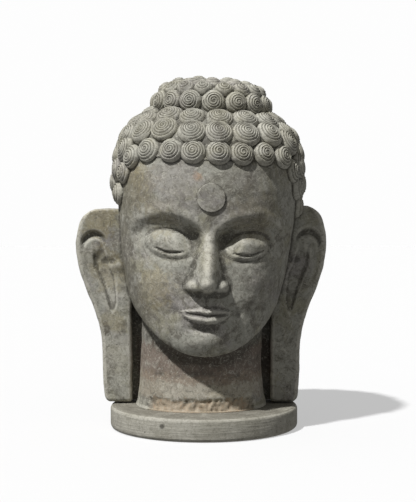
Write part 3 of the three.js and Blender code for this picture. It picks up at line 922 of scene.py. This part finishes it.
GREY = linear(148, 147, 137)
OLIVE = linear(138, 135, 118)
VIOLET = linear(138, 134, 130)
OCHRE = linear(142, 132, 102)
RUST = linear(158, 126, 96)
DARK = linear(92, 88, 78)
DIRT_AND_SHADE = linear(50, 47, 40)
PALE = linear(186, 183, 171)
SAND = linear(154, 140, 120)
WINE = linear(105, 89, 79)
BASE_GREY = linear(155, 152, 141)
BASE_OLIVE = linear(142, 139, 127)
BASE_DARK = linear(112, 108, 96)

# Layers of noise: size, detail, roughness, distortion, where it starts, where it is full, strength, colour
STONE_CLOUDS = [
    (0.09, 5, 0.6, 0.6, 0.5, 0.66, 1, VIOLET),
    (0.06, 6, 0.62, 0.8, 0.45, 0.62, 1, OLIVE),
    (0.035, 7, 0.68, 1.6, 0.5, 0.63, 0.75, DARK),
    (0.02, 6, 0.7, 1.5, 0.52, 0.72, 0.55, PALE),
]
BASE_CLOUDS = [
    (0.05, 5, 0.6, 0.8, 0.45, 0.65, 1, BASE_OLIVE),
    (0.03, 6, 0.65, 1.2, 0.55, 0.72, 0.5, BASE_DARK),
]
GRAINS = [
    (0.007, 5, 0.7, 0.5, 0.5, 0.66, 0.35, DARK),
    (0.005, 5, 0.7, 0.5, 0.54, 0.68, 0.3, PALE),
]
MOTTLES = [
    (0.014, 8, 0.75, 3.0, 0.49, 0.62, 0.6, DARK),
    (0.011, 8, 0.75, 3.0, 0.52, 0.64, 0.5, PALE),
]
SPECKS = [(0.0022, 2, 0.6, 0, 0.56, 0.7, 0.25, DARK)]
BED_SPOTS = [
    (0.008, 6, 0.75, 1.0, 0.5, 0.62, 0.4, RUST),
    (0.005, 4, 0.7, 1.0, 0.56, 0.66, 0.4, DIRT_AND_SHADE),
]
# Groove darkening is dirt and painted shade; edge paleness is wear and a painted highlight
GROOVE_DIRT_AND_SHADE = 0.68
EDGE_WEAR_AND_HIGHLIGHT = 0.6
PIT_SIZE = 0.006
PIT_DIRT = 0.7


def layered(n, colour, layers, strength=1.0, mask=None):
    """Lays layers of noise over a colour, everywhere or where the mask is."""
    for size, detail, roughness, distortion, start, full, most, shade in layers:
        amount = n.ramp(n.noise(size, detail, roughness, distortion), start, full, 0, most * strength)
        colour = n.over(colour, amount if mask is None else n.times(mask, amount), shade)
    return colour


def wear_and_painted_light(n, colour, cavity, wear_and_highlight, mottling=1.0):
    """Dirt and painted shade in grooves, worn edges with a painted highlight, fine dark and pale grains; also
    gives the pits.
    """
    # painted shade: grooves and hollows are darkened where shade falls, along with their dirt
    colour = n.over(colour, n.times(n.ramp(cavity, 0.1, 0.8), GROOVE_DIRT_AND_SHADE), DIRT_AND_SHADE)
    # painted highlight: edges that stand out are lightened, along with their real wear
    colour = n.over(colour, n.times(n.ramp(wear_and_highlight, 0.2, 0.9), EDGE_WEAR_AND_HIGHLIGHT), PALE)
    colour = layered(n, colour, GRAINS)
    colour = layered(n, colour, MOTTLES, mottling)
    colour = layered(n, colour, SPECKS)
    pits = n.times(n.ramp(n.spots(PIT_SIZE), 0.08, 0.2, 1, 0), n.ramp(n.noise(0.03), 0.5, 0.62))
    return n.over(colour, n.times(pits, PIT_DIRT), DIRT_AND_SHADE), pits


def bumps(n, layers):
    """The normal after several bumps: what stands out, strength and height in metres."""
    normal = None
    for height, strength, distance in layers:
        normal = n.bump(height, strength, distance, normal)
    return normal


# Stains on the head, and a painted shade on the right of the forehead: where, how wide, which colour and how
# strong
STAINS_AND_SHADE = [
    ((-0.070, -0.095, 0.205), 0.026, OCHRE, 0.55),
    ((-0.088, -0.075, 0.342), 0.028, OCHRE, 0.75),
    ((-0.062, -0.110, 0.300), 0.022, OCHRE, 0.4),
    ((0.070, -0.100, 0.300), 0.030, OCHRE, 0.3),
    ((-0.008, -0.115, 0.356), 0.0062, RUST, 0.75),
    ((-0.132, -0.010, 0.150), 0.014, OCHRE, 0.4),
    ((-0.141, -0.006, 0.137), 0.0065, DARK, 0.9),
    ((-0.112, -0.045, 0.325), 0.028, OLIVE, 0.7),
    ((-0.112, -0.050, 0.320), 0.020, DARK, 0.35),
    ((0.085, -0.080, 0.215), 0.030, DARK, 0.35),
    ((-0.040, -0.105, 0.350), 0.036, VIOLET, 0.6),
    ((-0.114, -0.035, 0.270), 0.032, DARK, 0.6),
    ((-0.110, -0.040, 0.225), 0.032, DARK, 0.6),
    ((-0.095, -0.060, 0.180), 0.032, DARK, 0.55),
    ((-0.133, -0.006, 0.195), 0.018, PALE, 0.5),
    ((-0.150, -0.006, 0.300), 0.026, OCHRE, 0.6),
    ((-0.140, -0.006, 0.225), 0.024, OCHRE, 0.45),
    ((-0.125, -0.006, 0.105), 0.024, PALE, 0.3),
    ((-0.078, -0.055, 0.048), 0.026, DARK, 0.7),
    # painted shade: the right of the forehead, which lies in shade, is darkened
    ((0.060, -0.100, 0.335), 0.045, DARK, 0.4),
    ((-0.100, -0.075, 0.330), 0.030, DARK, 0.45),
]


# Colour round the neck, in metres. Bands: lowest and highest level, strength and colour
NECK_BANDS = [(0.076, 0.12, 0.8, WINE), (0.055, 0.079, 0.4, SAND), (0.058, 0.07, 0.15, PALE)]
BAND_FADE = 0.008
RAGGED_WIDTH = 0.012
NECK_REACH = (0.097, 0.101)  # distance from the neck's axis, beyond which the ear lobes stay plain
BED_LEVELS = (0.046, 0.052)  # top of the sandy bed
BED_SIDES = (-0.065, -0.05)
BED_STRENGTH = 0.75


def carved_stone():
    """Mottled grey stone with stains, painted shade and highlight, bands round the neck and a sandy bed at
    its foot.
    """
    n = Nodes("carved_stone")
    colour = layered(n, GREY, STONE_CLOUDS)
    ragged = n.ramp(n.noise(0.012, 5, 0.65), 0.3, 0.7, -0.5, 0.5)
    for centre, radius, shade, strength in STAINS_AND_SHADE:
        colour = n.over(colour, n.times(n.near(centre, radius, ragged), strength), shade)
    axes = n.axes()
    level = n.ragged_sum(ragged, RAGGED_WIDTH, axes["Z"])
    neck = n.ramp(n.reach(), *NECK_REACH, 1, 0)
    for low, high, strength, shade in NECK_BANDS:
        band = n.times(n.ramp(level, low - BAND_FADE, low), n.ramp(level, high, high + BAND_FADE, 1, 0))
        colour = n.over(colour, n.times(band, neck, strength), shade)
    bed = n.times(n.ramp(level, *BED_LEVELS, 1, 0), neck, n.ramp(axes["Y"], *BED_SIDES, 1, 0))
    edges = n.math("SUBTRACT", n.attribute("wear_and_highlight"), bed)
    colour, pits = wear_and_painted_light(n, colour, n.attribute("cavity"), edges)
    colour = n.over(colour, n.times(bed, BED_STRENGTH), SAND)
    colour = layered(n, colour, BED_SPOTS, mask=bed)
    coarse, fine = n.noise(0.006, 6, 0.65), n.noise(0.0015, 3, 0.6)
    normal = bumps(n, [(coarse, 0.5, 0.0009), (fine, 0.35, 0.0004), (pits, 0.6, -0.0006)])
    return n.finish(colour, n.ramp(n.noise(0.02, 5), 0.3, 0.7, 0.62, 0.88), normal)


BASE_TOP = (BASE_HEIGHT - 0.0015, BASE_HEIGHT - 0.0005)
BASE_EDGE_PALENESS = 0.3
BASE_MOTTLING = 0.55
TURNED_SCALE = 300
BASE_PIT = {"centre": (-0.0555, -0.120, 0.0205), "radius": 0.0035, "dirt": 0.75}


def base_stone():
    """The same stone, dark on top with faint turned lines, and with level strokes round its side."""
    n = Nodes("base_stone")
    colour = layered(n, BASE_GREY, BASE_CLOUDS)
    top = n.ramp(n.axes()["Z"], *BASE_TOP)
    colour = n.over(colour, n.times(top, n.ramp(n.noise(0.03, 5, 0.6), 0.25, 0.6, 0.85, 0.55)), DARK)
    strokes = n.noise(0.018, 6, 0.65, 0.4, stretch=(0.25, 0.25, 6))
    colour = n.over(colour, n.ramp(strokes, 0.5, 0.7, 0, 0.4), PALE)
    inputs = {"Vector": n.reach(), "Scale": TURNED_SCALE, "Detail": 4}
    lines = n.add("ShaderNodeTexNoise", inputs).outputs["Fac"]
    colour = n.over(colour, n.times(top, n.ramp(lines, 0.45, 0.65, 0, 0.3)), DIRT_AND_SHADE)
    # pale edges: wear and a painted highlight
    edges = n.times(n.attribute("wear_and_highlight"), BASE_EDGE_PALENESS)
    colour, pits = wear_and_painted_light(n, colour, n.attribute("cavity"), edges, BASE_MOTTLING)
    ragged = n.ramp(n.noise(0.004), 0.3, 0.7, -0.002, 0.002)
    pit = n.near(BASE_PIT["centre"], BASE_PIT["radius"], ragged)
    colour = n.over(colour, n.times(pit, BASE_PIT["dirt"]), DIRT_AND_SHADE)
    normal = bumps(n, [(strokes, 0.7, 0.0012), (n.noise(0.003, 5, 0.65), 0.4, 0.0005), (pits, 0.5, -0.0005)])
    return n.finish(colour, n.ramp(n.noise(0.02, 5), 0.3, 0.7, 0.6, 0.82), normal)


# Set: pale floor, white backdrop, one sun and a pale sky
FLOOR = {"size": 14, "albedo": 0.355, "glow": 0.437}
BACKDROP = {"radius": 6.5, "albedo": 0.0, "glow": 0.985}
SUN_ASIDE = math.radians(43)
SUN_UP = math.radians(57)
SUN_WIDTH = math.radians(2.5)
SUN_STRENGTH = 4.75
SKY_STRENGTH = 0.28
WHITE = (1, 1, 1, 1)


def glow_material(name, albedo, glow):
    n = Nodes(name)
    n.shader.inputs["Base Color"].default_value = (albedo, albedo, albedo, 1)
    n.shader.inputs["Roughness"].default_value = 1.0
    n.shader.inputs["Specular IOR Level"].default_value = 0.0
    n.shader.inputs["Emission Color"].default_value = WHITE
    n.shader.inputs["Emission Strength"].default_value = glow
    return n.material


def make_set():
    bpy.ops.mesh.primitive_plane_add(size=FLOOR["size"], location=(0, 0, 0))
    floor = bpy.context.object
    floor.name = "floor"
    floor.data.materials.append(glow_material("floor", FLOOR["albedo"], FLOOR["glow"]))
    radius = BACKDROP["radius"]
    bpy.ops.mesh.primitive_uv_sphere_add(segments=48, ring_count=24, radius=radius, location=(0, 0, 0))
    backdrop = bpy.context.object
    backdrop.name = "backdrop"
    backdrop.data.materials.append(glow_material("backdrop", BACKDROP["albedo"], BACKDROP["glow"]))
    backdrop.visible_shadow = False
    for stage in (floor, backdrop):
        stage.visible_diffuse = False
        stage.visible_glossy = False
    sun = bpy.data.lights.new("sun", "SUN")
    sun.energy = SUN_STRENGTH
    sun.angle = SUN_WIDTH
    lamp = bpy.data.objects.new("sun", sun)
    level = math.cos(SUN_UP)
    toward = Vector((-math.sin(SUN_ASIDE) * level, -math.cos(SUN_ASIDE) * level, math.sin(SUN_UP)))
    lamp.rotation_euler = toward.to_track_quat("Z", "Y").to_euler()
    bpy.context.scene.collection.objects.link(lamp)
    world = bpy.data.worlds.new("world")
    world.use_nodes = True
    sky = world.node_tree.nodes["Background"]
    sky.inputs["Color"].default_value = WHITE
    sky.inputs["Strength"].default_value = SKY_STRENGTH
    bpy.context.scene.world = world


CAMERA_DISTANCE = 1.8
CAMERA_HEIGHT = 0.33
CAMERA_ASIDE = 0.0058
CAMERA_PITCH = math.radians(2.51)
LENS = 90.2
SENSOR = 36


def make_camera():
    data = bpy.data.cameras.new("camera")
    data.lens = LENS
    data.sensor_width = SENSOR
    camera = bpy.data.objects.new("camera", data)
    camera.location = (CAMERA_ASIDE, -CAMERA_DISTANCE, CAMERA_HEIGHT)
    camera.rotation_euler = (math.pi / 2 - CAMERA_PITCH, 0, 0)
    bpy.context.scene.collection.objects.link(camera)
    bpy.context.scene.camera = camera


HEAD_SHARP = 50  # degrees from which an edge is shaded as sharp
BASE_SHARP = 40

bpy.context.scene.view_settings.view_transform = "Standard"
make_camera()
make_set()

head = make_head()
wear_head(head)
wear_and_shade_maps(head)
finish_shading(head, HEAD_SHARP)
head.data.materials.append(carved_stone())
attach(head, "root")
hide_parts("head")

base = make_base()
wear_and_shade_maps(base)
finish_shading(base, BASE_SHARP)
base.data.materials.append(base_stone())
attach(base, "root")
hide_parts("round_base")
